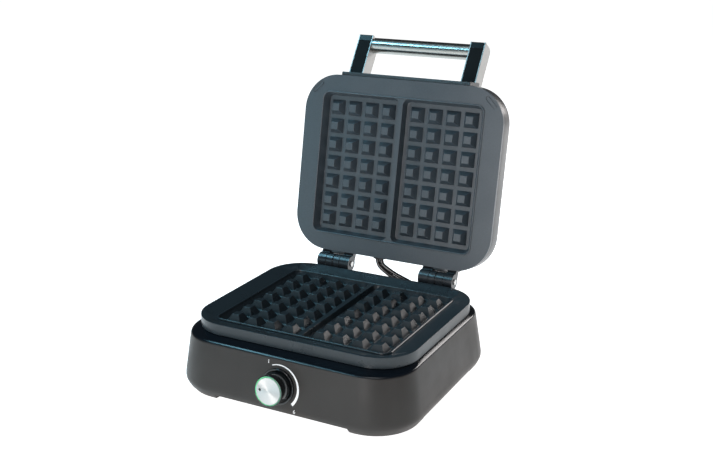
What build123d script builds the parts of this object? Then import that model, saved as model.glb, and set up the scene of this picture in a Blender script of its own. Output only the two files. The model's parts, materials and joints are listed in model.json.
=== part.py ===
from build123d import *
import math
import os

# Countertop waffle iron for two deep rectangular waffles, lid shown open.
# Millimetres, +Z up. The front, with the dial, faces -Y. X is left to right.
# Each piece is drawn about the middle of the lower plate's parting plane
# (z = 0 where the two plates meet) and moved to the row frame at the end,
# where z = 0 is the surface that the feet stand on.

# ---------------------------------------------------------------- dimensions
PITCH = 21.0               # stud to stud
COLS = 4                   # studs across one waffle
ROWS = 7                   # studs along one waffle
COL_0 = 17.5               # first stud column from the centre line
STUD_TOP = 8.0             # square stud, at its top
STUD_BASE = 16.4           # and where it meets the floor
STUD_H = 7.7
STUD_GAP = 1.6             # stud top below the parting plane

PLATE_X, PLATE_Y, PLATE_R = 119.2, 99.1, 40.0      # half sizes, corner radius
LIP_X, LIP_Y, LIP_R = 97.0, 80.0, 8.0              # the bead round the basins
DIVIDER = 2.5              # half width of the rib between the basins
BASIN_SLOPE_X, BASIN_SLOPE_Y = 4.0, 7.0
LOW_TOP = -0.4             # lower plate, outer rim
LOW_BEAD = -4.0            # lower plate, bead
LOW_SKIRT = -11.5          # lower plate, bottom of its outer wall
LOW_BACK = -13.5           # lower plate, underside
UP_LAND = 0.9              # upper plate, flat land
UP_BEAD = 0.3
UP_SKIRT = 5.0
UP_BACK = 13.5
TRAY_X, TRAY_Y, TRAY_R = 114.0, 94.0, 36.0         # inset part of each plate

BASE_Y = -2.7              # middle of the base housing
SH_X, SH_Y, SH_R, SH_Z = 123.3, 109.9, 42.0, -14.3      # shoulder edge
WD_X, WD_Y, WD_R, WD_Z = 130.0, 116.9, 46.3, -62.2      # widest
BT_X, BT_Y, BT_R, BT_Z = 127.5, 114.6, 46.2, -68.0      # bottom edge
SKIRT_X, SKIRT_Y, SKIRT_R, SKIRT_Z = 124.1, 111.2, 44.0, -73.0
SHELF_Z = -12.0
WALL = 3.0
GROUND = -73.5

HINGE_Y, HINGE_Z = 111.2, 1.6
BARREL_R = 8.4
PIN_R = 3.0
PIN_CLEAR = 0.05
OPEN_DEG = 101.45
KNUCKLE_A = (72.6, 83.0)   # outer lid knuckle
KNUCKLE_BASE = (55.4, 72.2)
KNUCKLE_B = (43.2, 55.0)   # inner lid knuckle

COVER_Z0, COVER_Z1, COVER_Z2, COVER_Z3 = 5.3, 20.0, 26.5, 30.0

ARM_X, ARM_W = 68.0, 17.5
CHEEK = 1.2
BAR_R, BAR_WALL = 8.8, 1.2
BAR_Y, BAR_Z = -135.4, 42.3
TIE_R = 4.0

KNOB_Z = -41.4
KNOB_TILT = math.degrees(math.atan2(WD_Y - SH_Y, SH_Z - WD_Z))    # the front face leans back
KNOB_R, KNOB_H = 15.0, 18.5
BEZEL_R = 17.6
SHAFT_R = 3.0

ELEMENT_R = 3.25
LEAD_D = 4.4
CORD_BORE_R = 3.6
CORD_X, CORD_Z = -20.0, -53.0

# Row frame: the box of the open object is centred on x = 0, y = 0.
Y_SHIFT = -36.88
Z_SHIFT = -GROUND


# ---------------------------------------------------------------- helpers
def ring(hx, hy, r, z, y0=0.0):
    return Plane((0, y0, z)) * RectangleRounded(2 * hx, 2 * hy, r)


def tier(*rings):
    """Straight-sided loft through rounded rectangles, bottom to top."""
    out = None
    for a, b in zip(rings, rings[1:]):
        s = loft([ring(*a), ring(*b)], ruled=True)
        out = s if out is None else out + s
    return out


def block(x0, x1, y0, y1, z0, z1):
    return Pos((x0 + x1) / 2, (y0 + y1) / 2, (z0 + z1) / 2) * Box(x1 - x0, y1 - y0, z1 - z0)


def rod(x, y, z0, z1, r):
    return Pos(x, y, (z0 + z1) / 2) * Cylinder(r, z1 - z0)


def rod_x(x0, x1, y, z, r):
    return Pos((x0 + x1) / 2, y, z) * Rot(0, 90, 0) * Cylinder(r, x1 - x0)


def mirror_x(s):
    return s.mirror(Plane.YZ)


def prism_x(points, x0, x1):
    """Polygon in (y, z) extruded from x0 to x1."""
    face = make_face(Plane.YZ * Polyline(*points, close=True))
    return Pos(x0, 0, 0) * extrude(face, amount=x1 - x0, dir=(1, 0, 0))


# Local frame on the front face: +Z outward, +X to the right.
FACE_Y = BASE_Y - (SH_Y + (SH_Z - KNOB_Z) / (SH_Z - WD_Z) * (WD_Y - SH_Y))
_t = math.radians(KNOB_TILT)
DIAL = Plane(origin=(0, FACE_Y, KNOB_Z), x_dir=(1, 0, 0), z_dir=(0, -math.cos(_t), math.sin(_t)))


def dial_rod(w0, w1, r, x=0.0, y=0.0):
    return DIAL * (Pos(x, y, (w0 + w1) / 2) * Cylinder(r, w1 - w0))


def dial_box(x0, x1, y0, y1, w0, w1):
    return DIAL * block(x0, x1, y0, y1, w0, w1)


def studs(z_top, z_base):
    out = []
    for side in (-1, 1):
        for i in range(COLS):
            for j in range(ROWS):
                x = side * (COL_0 + i * PITCH)
                y = (j - (ROWS - 1) / 2) * PITCH
                out.append(loft([Plane((x, y, z_base)) * Rectangle(STUD_BASE, STUD_BASE),
                                 Plane((x, y, z_top)) * Rectangle(STUD_TOP, STUD_TOP)], ruled=True))
    return out


def basin(side, z_lip, z_floor):
    """One waffle's hollow: sloped walls from the bead down to the floor."""
    x0, x1 = DIVIDER, LIP_X - 1.0
    xm, hx = side * (x0 + x1) / 2, (x1 - x0) / 2
    hy = LIP_Y - 1.0
    a = Plane((xm, 0, z_lip)) * RectangleRounded(2 * hx, 2 * hy, 7.0)
    inset = 1.6
    b = Plane((xm + side * (inset - BASIN_SLOPE_X) / 2, 0, z_floor)) * RectangleRounded(
        2 * hx - inset - BASIN_SLOPE_X, 2 * hy - 2 * 3.0, 4.0)
    return loft([a, b], ruled=True)


POSTS = [(sx * 100.0, sy * 50.0) for sx in (-1, 1) for sy in (-1, 1)]


# ---------------------------------------------------------------- base, outside
def make_base():
    parts = {}
    outer = tier((PLATE_X + 1.0, PLATE_Y + 1.0, PLATE_R + 0.5, SHELF_Z, 0.0),
                 (SH_X, SH_Y, SH_R, SH_Z, BASE_Y),
                 (WD_X, WD_Y, WD_R, WD_Z, BASE_Y),
                 (BT_X, BT_Y, BT_R, BT_Z, BASE_Y))
    inner = tier((SH_X - 3.6, SH_Y - 3.6, SH_R - 3.6, SH_Z - 3.0, BASE_Y),
                 (WD_X - WALL, WD_Y - WALL, WD_R - WALL, WD_Z, BASE_Y),
                 (BT_X - WALL, BT_Y - WALL, BT_R - WALL, BT_Z - 0.5, BASE_Y))
    shell = outer - inner
    opening = extrude(ring(TRAY_X + 1.0, TRAY_Y + 1.0, TRAY_R + 1.0, -20.0), 12.0)
    shell -= opening

    # corner skirts below the bottom edge
    skirt = tier((BT_X, BT_Y, BT_R, BT_Z, BASE_Y), (SKIRT_X, SKIRT_Y, SKIRT_R, SKIRT_Z, BASE_Y))
    skirt -= extrude(ring(SKIRT_X - 5.0, SKIRT_Y - 5.0, SKIRT_R - 5.0, SKIRT_Z - 1.0, BASE_Y), 8.0)
    corners = [block(sx * 104.5 - 25.5, sx * 104.5 + 25.5, BASE_Y + sy * 94.0 - 25.0, BASE_Y + sy * 94.0 + 25.0, -75.0, -60.0)
               for sx in (-1, 1) for sy in (-1, 1)]
    for c in corners:
        shell += skirt & c

    # ledges that carry the lower plate's posts, and bosses for the bottom cover
    for x, y in POSTS:
        s = 1 if x > 0 else -1
        ledge = block(min(x - s * 8, s * 128), max(x - s * 8, s * 128), y - 8, y + 8, -42.0, -34.0) & outer
        shell += ledge
        shell -= rod(x, y, -45.0, -30.0, 2.6)
    for sx in (-1, 1):
        for sy in (-1, 1):
            bx, by = sx * 97.0, BASE_Y + sy * 84.0
            boss = rod(bx, by, -65.9, -40.0, 6.5)
            rib = Pos(sx * 107.5, BASE_Y + sy * 94.5, -52.95) * Rot(0, 0, 45 if sx == sy else -45) * Box(30, 4, 25.9)
            shell += boss + (rib & outer)
            shell -= rod(bx, by, -70.0, -50.0, 2.0)

    # holes in the front wall for the dial, and in the rear for cord and leads
    shell -= dial_rod(-6, 2, SHAFT_R + 0.8)
    shell -= dial_rod(-6, 2, 2.7, 0, 9.5)
    for sx in (-1, 1):
        shell -= dial_rod(-6, -0.8, 1.5, sx * 21.0, 0)
    shell -= Pos(CORD_X, BASE_Y + WD_Y - 2, CORD_Z) * Rot(90, 0, 0) * Cylinder(7.0, 20)
    parts["outer"] = outer

    # hinge mounts: a web that wraps the rear shoulder, ending in a barrel
    for side, name in ((-1, "left"), (1, "right")):
        a, b = KNUCKLE_BASE
        x0, x1 = (a, b) if side > 0 else (-b, -a)
        web = prism_x([(HINGE_Y - BARREL_R, HINGE_Z), (HINGE_Y + BARREL_R, HINGE_Z),
                       (HINGE_Y + BARREL_R, -24.0), (HINGE_Y + 2.0, -40.0), (HINGE_Y - 6.0, -40.0), (HINGE_Y - BARREL_R, -9.0)], x0, x1)
        web = web + rod_x(x0, x1, HINGE_Y, HINGE_Z, BARREL_R)
        foot = prism_x([(HINGE_Y - 5.0, -18.0), (HINGE_Y + 4.6, -18.0), (HINGE_Y + 4.6, -44.0), (HINGE_Y - 2.0, -44.0)], x0 - 8, x1 + 8)
        web = web + foot
        web -= outer
        web -= rod_x(x0 - 1, x1 + 1, HINGE_Y, HINGE_Z, PIN_R)
        xm = side * 63.4
        groove = rod_x(xm - 0.7, xm + 0.7, HINGE_Y, HINGE_Z, BARREL_R + 1) - rod_x(xm - 0.8, xm + 0.8, HINGE_Y, HINGE_Z, BARREL_R - 1.0)
        web -= groove
        # screws through the foot into the rear wall
        screws = []
        for sx in (-1, 1):
            px = (x0 + x1) / 2 + sx * 12.4
            hole = Pos(px, HINGE_Y, -33.0) * Rot(90, 0, 0)
            web -= hole * Cylinder(2.0, 30)
            shell -= hole * Cylinder(2.0, 30)
            screws.append(Pos(px, HINGE_Y + 0.1, -33.0) * Rot(90, 0, 0) * Cylinder(2.0, 9.0)
                          + Pos(px, HINGE_Y + 5.7, -33.0) * Rot(90, 0, 0) * Cylinder(3.8, 2.2))
        parts["hinge_base_" + name] = web
        parts["hinge_screws_base_" + name] = Compound(children=screws)
        c, d = KNUCKLE_B[0] - 1.2, KNUCKLE_A[1] + 1.2
        p0, p1 = (c, d) if side > 0 else (-d, -c)
        parts["hinge_pin_" + name] = rod_x(p0, p1, HINGE_Y, HINGE_Z, PIN_R)
    parts["base_housing"] = shell
    return parts


base = make_base()
outer_base = base.pop("outer")

# leads between base and lid: bushes in the base's rear wall
LEAD_PATH_END = (38.2, 111.6, -22.6)       # middle of the pair at the base bush
LEAD_PATH_IN = (36.2, 118.6, -21.4)        # the point before it
_d = Vector(*LEAD_PATH_END) - Vector(*LEAD_PATH_IN)
LEAD_FACE = Plane(origin=LEAD_PATH_END, z_dir=(-_d.X, -_d.Y, -_d.Z), x_dir=(1, _d.X / -_d.Y, 0))
base["base_housing"] -= LEAD_FACE * (Pos(0, 0, -6) * Cylinder(6.0, 12))

# ---------------------------------------------------------------- lower plate
def make_lower_plate():
    body = extrude(ring(PLATE_X, PLATE_Y, PLATE_R, LOW_SKIRT), LOW_TOP - LOW_SKIRT)
    body += extrude(ring(TRAY_X, TRAY_Y, TRAY_R, LOW_BACK), LOW_SKIRT - LOW_BACK + 0.5)
    land = loft([ring(LIP_X + 1.2, LIP_Y + 1.2, LIP_R + 1.2, LOW_BEAD - 0.5),
                 ring(PLATE_X - 3.2, PLATE_Y - 3.2, PLATE_R - 3.2, LOW_TOP)], ruled=True)
    body -= land
    bead = extrude(ring(LIP_X, LIP_Y, LIP_R, LOW_BEAD - 1.5), 1.5)
    body += bead
    floor = -STUD_GAP - STUD_H
    pits = [basin(s, LOW_BEAD, floor) for s in (-1, 1)]
    st = studs(-STUD_GAP, floor)
    for p in pits:
        body -= p
    body = body + st
    for x, y in POSTS:
        body += rod(x, y, -34.0, LOW_BACK, 6.0)
        body -= rod(x, y, -34.5, -20.0, 2.0)
    return body


base["lower_waffle_plate"] = make_lower_plate()
base["lower_plate_screws"] = Compound(children=[
    rod(x, y, -44.5, -42.0, 4.2) + rod(x, y, -42.5, -22.0, 2.0) for x, y in POSTS])
for x, y in POSTS:
    base["base_housing"] -= rod(x, y, -45.0, -30.0, 2.0)


def make_element(z, terminal_y):
    pts = [(-14, terminal_y, z), (-14, 60, z), (-80, 60, z), (-80, -60, z),
           (80, -60, z), (80, 60, z), (14, 60, z), (14, terminal_y, z)]
    path = FilletPolyline(*pts, radius=14.0)
    prof = Plane(origin=pts[0], z_dir=(0, -1, 0)) * Circle(ELEMENT_R)
    return sweep(prof, path=path)


base["lower_heating_element"] = make_element(LOW_BACK - ELEMENT_R, 89.0)


def make_reflector(z_open, z_shut, sign):
    """Shallow steel tray, open towards the plate."""
    t = 0.8 * sign
    z0, z1 = min(z_open, z_shut), max(z_open, z_shut)
    out = extrude(ring(91.0, 76.0, 12.0, z0), z1 - z0)
    lo, hi = (z0 - 1, z1 - 0.8) if sign < 0 else (z0 + 0.8, z1 + 1)
    out -= extrude(ring(90.2, 75.2, 11.2, lo), hi - lo)
    notch_lo, notch_hi = (z0 - 1, z1 - 0.8) if sign < 0 else (z0 + 0.8, z1 + 1)
    out -= block(-22, 22, 70, 80, notch_lo, notch_hi)
    return out


base["lower_reflector"] = make_reflector(LOW_BACK, LOW_BACK - 8.4, 1)

# ---------------------------------------------------------------- base, inside
cover_ring = (BT_X - WALL - 0.5, BT_Y - WALL - 0.5, BT_R - WALL - 0.5)
bottom = extrude(ring(*cover_ring, -67.9, BASE_Y), 2.0)
for i in range(7):
    bottom -= block(-60, 60, -36 + 12 * i - 1.6, -36 + 12 * i + 1.6, -70, -60)
for sx in (-1, 1):
    for sy in (-1, 1):
        bottom -= rod(sx * 97.0, BASE_Y + sy * 84.0, -70, -60, 2.0)
base["bottom_cover"] = bottom
base["bottom_cover_screws"] = Compound(children=[
    rod(sx * 97.0, BASE_Y + sy * 84.0, -69.9, -67.9, 4.0) + rod(sx * 97.0, BASE_Y + sy * 84.0, -68.4, -52.0, 2.0)
    for sx in (-1, 1) for sy in (-1, 1)])
base["rubber_feet"] = Compound(children=[
    rod(sx * 84.0, BASE_Y + sy * 96.5, GROUND, -67.9, 8.0) for sx in (-1, 1) for sy in (-1, 1)])

# ---------------------------------------------------------------- dial
base["knob_bezel"] = dial_rod(0, 3.0, BEZEL_R) - dial_rod(-1, 4, KNOB_R + 0.6)
bracket = dial_box(-26, 26, -14, 20, -4.6, -3.0)
bracket -= dial_rod(-6, 0, SHAFT_R + 3.2)
bracket -= dial_rod(-6, 0, 2.7, 0, 9.5)
for sx in (-1, 1):
    bracket -= dial_rod(-6, 0, 1.5, sx * 21.0, 0)
base["thermostat_bracket"] = bracket - base["base_housing"]
base["thermostat_screws"] = Compound(children=[
    dial_rod(-6.4, -4.6, 3.0, sx * 21.0, 0) + dial_rod(-5.0, -0.9, 1.5, sx * 21.0, 0) for sx in (-1, 1)])
thermostat = dial_box(-17, 17, -13, 6.0, -30.0, -8.0) + dial_rod(-8.5, -4.6, 5.2) + dial_box(-17, 17, 5.9, 13, -30.0, -12.0)
thermostat -= dial_rod(-24.0, 0, SHAFT_R + PIN_CLEAR)
base["thermostat"] = thermostat
lamp = dial_box(-6, 6, 6.3, 18, -6.0, -4.6) + dial_rod(-5.0, -0.3, 2.4, 0, 9.5)
base["indicator_lamp"] = lamp

knob = dial_rod(0.6, KNOB_H, KNOB_R) - dial_rod(KNOB_H - 1.8, KNOB_H + 1, KNOB_R - 0.8)
knob -= dial_rod(-0.5, 12.0, SHAFT_R)
KNOB = {
    "knob": knob,
    "knob_light_ring": dial_rod(KNOB_H - 1.8, KNOB_H - 0.2, KNOB_R - 0.8) - dial_rod(KNOB_H - 3, KNOB_H + 1, 13.0),
    "knob_face": dial_rod(KNOB_H - 1.8, KNOB_H + 0.2, 13.0) - dial_rod(KNOB_H - 0.6, KNOB_H + 1, 1.3, -9.0, 0.0),
    "knob_shaft": dial_rod(-23.0, 12.0, SHAFT_R),
}

base["thermal_fuse"] = rod_x(-50, -30, 0, LOW_BACK - 8.4 - 3.5, 3.5)
fuse_clip = block(-44, -36, -7, 7, LOW_BACK - 8.4 - 7.8, LOW_BACK - 8.4)
fuse_clip -= rod_x(-50, -30, 0, LOW_BACK - 8.4 - 3.5, 3.5)
fuse_clip -= block(-45, -35, -3.5, 3.5, LOW_BACK - 8.4 - 3.5, LOW_BACK - 8.3)
base["thermal_fuse_clip"] = fuse_clip
tb = block(60, 100, 55, 71, -65.9, -51.0)
for i in range(4):
    tb -= rod(65 + 10 * i, 63, -56, -50, 2.6)
base["terminal_block"] = tb

# cord bush in the rear wall: flange outside, body through the wall, bored for the cord
rear_y = BASE_Y + SH_Y + (SH_Z - CORD_Z) / (SH_Z - WD_Z) * (WD_Y - SH_Y)
bush = Pos(CORD_X, rear_y - 4.0, CORD_Z) * Rot(90, 0, 0) * Cylinder(7.0, 14.0)
bush += (Pos(CORD_X, rear_y + 2.5, CORD_Z) * Rot(90, 0, 0) * Cylinder(10.0, 6.0)) - outer_base
bush += Pos(CORD_X, rear_y - 8.0, CORD_Z) * Rot(90, 0, 0) * Cylinder(8.5, 4.0)
bush -= Pos(CORD_X, rear_y - 4.0, CORD_Z) * Rot(90, 0, 0) * Cylinder(CORD_BORE_R, 60.0)
base["cord_bush"] = bush

# ---------------------------------------------------------------- lid, closed
lid = {}
cover_outer = tier((PLATE_X, PLATE_Y, PLATE_R, COVER_Z0), (PLATE_X, PLATE_Y, PLATE_R, COVER_Z1),
                   (PLATE_X - 5.5, PLATE_Y - 5.5, PLATE_R - 5.5, COVER_Z2),
                   (PLATE_X - 20, PLATE_Y - 20, PLATE_R - 16, COVER_Z3))
crown_outer = tier((PLATE_X, PLATE_Y, PLATE_R, COVER_Z1),
                   (PLATE_X - 5.5, PLATE_Y - 5.5, PLATE_R - 5.5, COVER_Z2),
                   (PLATE_X - 20, PLATE_Y - 20, PLATE_R - 16, COVER_Z3))
crown_inner = tier((PLATE_X - 2.6, PLATE_Y - 2.6, PLATE_R - 2.6, COVER_Z1 - 0.5),
                   (PLATE_X - 7.5, PLATE_Y - 7.5, PLATE_R - 7.5, COVER_Z2 - 1.6),
                   (PLATE_X - 21, PLATE_Y - 21, PLATE_R - 17, COVER_Z3 - 2.2))
lid["lid_cover"] = crown_outer - crown_inner
band = extrude(ring(PLATE_X, PLATE_Y, PLATE_R, COVER_Z0), COVER_Z1 - COVER_Z0)
band -= extrude(ring(PLATE_X - 3, PLATE_Y - 3, PLATE_R - 3, COVER_Z0 - 1), COVER_Z1 - COVER_Z0 + 2)
band_full = extrude(ring(PLATE_X, PLATE_Y, PLATE_R, COVER_Z0), COVER_Z1 - COVER_Z0)
for x, y in POSTS:
    s = 1 if x > 0 else -1
    band += block(min(x - s * 7, s * 122), max(x - s * 7, s * 122), y - 7, y + 7, UP_BACK + 1.5, UP_BACK + 5.0) & band_full
    band -= rod(x, y, UP_BACK, UP_BACK + 8, 2.0)

plate = extrude(ring(PLATE_X, PLATE_Y, PLATE_R, UP_LAND), UP_SKIRT - UP_LAND)
plate += extrude(ring(TRAY_X, TRAY_Y, TRAY_R, UP_SKIRT - 0.5), UP_BACK - UP_SKIRT + 0.5)
plate += extrude(ring(LIP_X, LIP_Y, LIP_R, UP_BEAD), UP_LAND - UP_BEAD + 0.2)
for s in (-1, 1):
    plate -= basin(s, UP_BEAD, STUD_GAP + STUD_H)
plate = plate + studs(STUD_GAP, STUD_GAP + STUD_H)
for x, y in POSTS:
    plate += rod(x, y, UP_BACK - 0.5, UP_BACK + 1.5, 6.0)
    plate -= rod(x, y, 5.5, UP_BACK + 2, 2.0)
# latch recesses in the front corners of the land
for sx in (-1, 1):
    rec = Pos(sx * 103.8, -84.0, UP_LAND) * Rot(0, 0, sx * 45) * (
        extrude(SlotOverall(17.0, 5.6), 0.8) - extrude(SlotOverall(13.8, 2.4), 0.8))
    plate -= rec
lid["upper_waffle_plate"] = plate
lid["upper_plate_screws"] = Compound(children=[
    rod(x, y, UP_BACK + 5.0, UP_BACK + 7.4, 4.0) + rod(x, y, 6.5, UP_BACK + 5.5, 2.0) for x, y in POSTS])
lid["upper_heating_element"] = make_element(UP_BACK + ELEMENT_R, 86.0)
lid["upper_reflector"] = make_reflector(UP_BACK, UP_BACK + 8.4, -1)
lid["lid_thermal_fuse"] = rod_x(20, 40, 0, UP_BACK + 8.4 + 2.2, 2.2)

# front rail that carries the handle arms
rail = prism_x([(-PLATE_Y, 2.0), (-PLATE_Y - 3.9, 3.0), (-PLATE_Y - 3.9, 30.0), (-PLATE_Y + 9.0, 30.0), (-PLATE_Y + 9.0, 20.0), (-PLATE_Y, 20.0)], -77.0, 77.0)
rail -= prism_x([(-PLATE_Y - 6, 16.0), (-PLATE_Y - 6, 40.0), (-PLATE_Y + 14, 40.0), (-PLATE_Y + 14, 16.0)], -58.0, 58.0)
rail -= cover_outer
lid["handle_rail"] = rail

# handle arms: black core between two metal cheeks, with a cap at the tip
A0 = (-PLATE_Y - 3.9, 18.5)
SLOPE = math.radians(22.8)
ARM_LEN, DEPTH = 47.7, 19.0
U = (-math.cos(SLOPE), math.sin(SLOPE))      # out along the arm, in (y, z)
N = (math.sin(SLOPE), math.cos(SLOPE))       # away from the parting plane


def arm_pt(u, n):
    return (A0[0] + U[0] * u + N[0] * n, A0[1] + U[1] * u + N[1] * n)


CAP_LEN, CAP_T, TIP_R = 7.5, 3.0, 5.0
tip_round = [arm_pt(ARM_LEN - TIP_R + TIP_R * math.sin(math.radians(a)), DEPTH - TIP_R + TIP_R * math.cos(math.radians(a)))
             for a in (90, 67.5, 45, 22.5, 0)]
root = [arm_pt(-12.0, DEPTH), arm_pt(-16.0, DEPTH - 6.0), (A0[0] + 14.0, A0[1] - 2.0), (A0[0], A0[1] - 6.0)]
side_poly = [A0, arm_pt(ARM_LEN, 0)] + tip_round + root
core_poly = [A0, arm_pt(ARM_LEN - CAP_LEN, 0), arm_pt(ARM_LEN - CAP_LEN, CAP_T), arm_pt(ARM_LEN, CAP_T)] + tip_round + root
cap_poly = [arm_pt(ARM_LEN - CAP_LEN, 0), arm_pt(ARM_LEN, 0), arm_pt(ARM_LEN, CAP_T), arm_pt(ARM_LEN - CAP_LEN, CAP_T)]
for side, name in ((-1, "left"), (1, "right")):
    xm = side * ARM_X
    w = ARM_W / 2
    core = prism_x(core_poly, xm - w + CHEEK, xm + w - CHEEK) - cover_outer - rail
    core -= rod_x(-90, 90, BAR_Y, BAR_Z, TIE_R)
    lid["handle_arm_" + name] = max(core.solids(), key=lambda q: q.volume)
    cheeks = []
    for k, (x0, x1) in enumerate(((xm - w, xm - w + CHEEK), (xm + w - CHEEK, xm + w))):
        ch = prism_x(side_poly, x0, x1) - cover_outer - rail
        if (k == 1) == (side < 0):           # the inner one is pierced by the tie rod
            ch -= rod_x(-90, 90, BAR_Y, BAR_Z, TIE_R)
        cheeks.append(max(ch.solids(), key=lambda q: q.volume))
    lid["handle_cheeks_" + name] = Compound(children=cheeks)
    lid["handle_tip_" + name] = prism_x(cap_poly, xm - w + CHEEK, xm + w - CHEEK)
inside = ARM_X - ARM_W / 2
lid["handle_bar"] = rod_x(-inside, inside, BAR_Y, BAR_Z, BAR_R) - rod_x(-inside - 1, inside + 1, BAR_Y, BAR_Z, BAR_R - BAR_WALL)
lid["handle_tie_rod"] = rod_x(-ARM_X - ARM_W / 2 + CHEEK, ARM_X + ARM_W / 2 - CHEEK, BAR_Y, BAR_Z, TIE_R)

# lid hinges: two knuckles with prongs and a leaf on the rear wall
for side, name in ((-1, "left"), (1, "right")):
    h = None
    for a, b in (KNUCKLE_A, KNUCKLE_B):
        x0, x1 = (a, b) if side > 0 else (-b, -a)
        k = rod_x(x0, x1, HINGE_Y, HINGE_Z, BARREL_R)
        k += prism_x([(PLATE_Y, 5.6), (PLATE_Y, 12.0), (HINGE_Y - 3.0, 9.6), (HINGE_Y, HINGE_Z), (HINGE_Y - 4.0, 0.0)], x0, x1)
        h = k if h is None else h + k
    x0, x1 = (KNUCKLE_B[0], KNUCKLE_A[1]) if side > 0 else (-KNUCKLE_A[1], -KNUCKLE_B[0])
    leaf = block(x0, x1, PLATE_Y, PLATE_Y + 2.2, 5.6, 19.0)
    h += leaf
    h -= rod_x(x0 - 1, x1 + 1, HINGE_Y, HINGE_Z, PIN_R + PIN_CLEAR)
    screws = []
    for px in (side * 50.0, side * 77.0):
        hole = Pos(px, PLATE_Y, 15.5) * Rot(90, 0, 0)
        h -= hole * Cylinder(1.8, 20)
        band -= hole * Cylinder(1.8, 20)
        screws.append(Pos(px, PLATE_Y - 0.4, 15.5) * Rot(90, 0, 0) * Cylinder(1.8, 6.0)
                      + Pos(px, PLATE_Y + 3.1, 15.5) * Rot(90, 0, 0) * Cylinder(3.2, 1.8))
    lid["hinge_lid_" + name] = h
    lid["hinge_screws_lid_" + name] = Compound(children=screws)

# ---------------------------------------------------------------- leads base to lid
def to_open(p):
    a = math.radians(OPEN_DEG)
    x, y, z = p
    dy, dz = y - HINGE_Y, z - HINGE_Z
    return (x, HINGE_Y + dy * math.cos(a) + dz * math.sin(a), HINGE_Z - dy * math.sin(a) + dz * math.cos(a))


LEAD_LID = (-14.0, PLATE_Y, 12.5)          # on the lid's rear wall, closed
lid_hole = Pos(*LEAD_LID) * Rot(90, 0, 0)
band -= lid_hole * Cylinder(6.0, 20)
bl = Pos(LEAD_LID[0], PLATE_Y - 1.3, LEAD_LID[2]) * Rot(90, 0, 0) * Cylinder(6.0, 6.6) + Pos(LEAD_LID[0], LEAD_LID[1] + 1.2, LEAD_LID[2]) * Rot(90, 0, 0) * Cylinder(6.9, 2.4)
lid["lead_bush_lid"] = bl
lid["lid_frame"] = band

bb = LEAD_FACE * (Pos(0, 0, -5.5) * Cylinder(6.0, 11.0))
bb += (LEAD_FACE * (Pos(0, 0, -2.6) * Cylinder(7.4, 5.2))) - outer_base
base["lead_bush_base"] = bb


def lead(points, label):
    """Round lead: straight runs joined by tangent arcs."""
    v = [Vector(*p) for p in points]
    radii = []
    for i in range(1, len(v) - 1):
        a, b = v[i] - v[i - 1], v[i + 1] - v[i]
        turn = math.radians(a.get_angle(b))
        radii.append(0.45 * min(a.length, b.length) / math.tan(turn / 2))
    path = FilletPolyline(*points, radius=radii)
    d = v[1] - v[0]
    tube = sweep(Plane(origin=points[0], z_dir=(d.X, d.Y, d.Z)) * Circle(LEAD_D / 2), path=path)
    want = math.pi * (LEAD_D / 2) ** 2 * path.length
    print(label, "length", round(path.length, 1), "radii", [round(r, 1) for r in radii],
          "volume ratio", round(tube.volume / want, 4))
    return tube


exit_dir = Vector(0, math.cos(math.radians(OPEN_DEG)), -math.sin(math.radians(OPEN_DEG)))
P_OUT = to_open((LEAD_LID[0], PLATE_Y + 3.6, LEAD_LID[2]))
MIDDLE = [P_OUT, (-12.6, 122.3, 2.8), (-5.6, 122.2, -2.2), (4.0, 122.6, -7.6), (14.5, 123.4, -11.8),
          (24.0, 124.2, -15.4), (31.4, 123.2, -19.0), LEAD_PATH_IN, LEAD_PATH_END]
OFFSET = [(2.5, 0, 0), (2.4, 0, 0.8), (1.9, 0, 1.7), (1.4, 0, 2.2), (1.1, 0, 2.3),
          (0.9, 0, 2.4), (0.6, 0.2, 2.45)] + [tuple(LEAD_FACE.y_dir * (2.5 if LEAD_FACE.y_dir.Z > 0 else -2.5))] * 2
for name, k in (("lid_lead_1", -1), ("lid_lead_2", 1)):
    base[name] = lead([tuple(m + k * o for m, o in zip(mm, oo)) for mm, oo in zip(MIDDLE, OFFSET)], name)

# ---------------------------------------------------------------- place and write
OPEN_AXIS = Axis((0, HINGE_Y, HINGE_Z), (1, 0, 0))
nodes = {}
for n, s in base.items():
    nodes[n] = s
for n, s in KNOB.items():
    nodes[n] = s
for n, s in lid.items():
    nodes[n] = s.rotate(OPEN_AXIS, -OPEN_DEG)

os.makedirs("parts", exist_ok=True)
lo, hi = [1e9] * 3, [-1e9] * 3
for n, s in nodes.items():
    s = Pos(0, Y_SHIFT, Z_SHIFT) * s
    s = Compound(children=list(s.solids())) if len(s.solids()) > 1 else s.solids()[0]
    export_step(s, "parts/" + n + ".step")
    bb_ = s.bounding_box()
    for i, (a, b) in enumerate(zip(tuple(bb_.min), tuple(bb_.max))):
        lo[i], hi[i] = min(lo[i], a), max(hi[i], b)
print("nodes", len(nodes), "box", [round(v, 2) for v in lo], [round(v, 2) for v in hi])
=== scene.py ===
import bpy
import bmesh
import json
import math
from mathutils import Matrix, Vector


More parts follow.
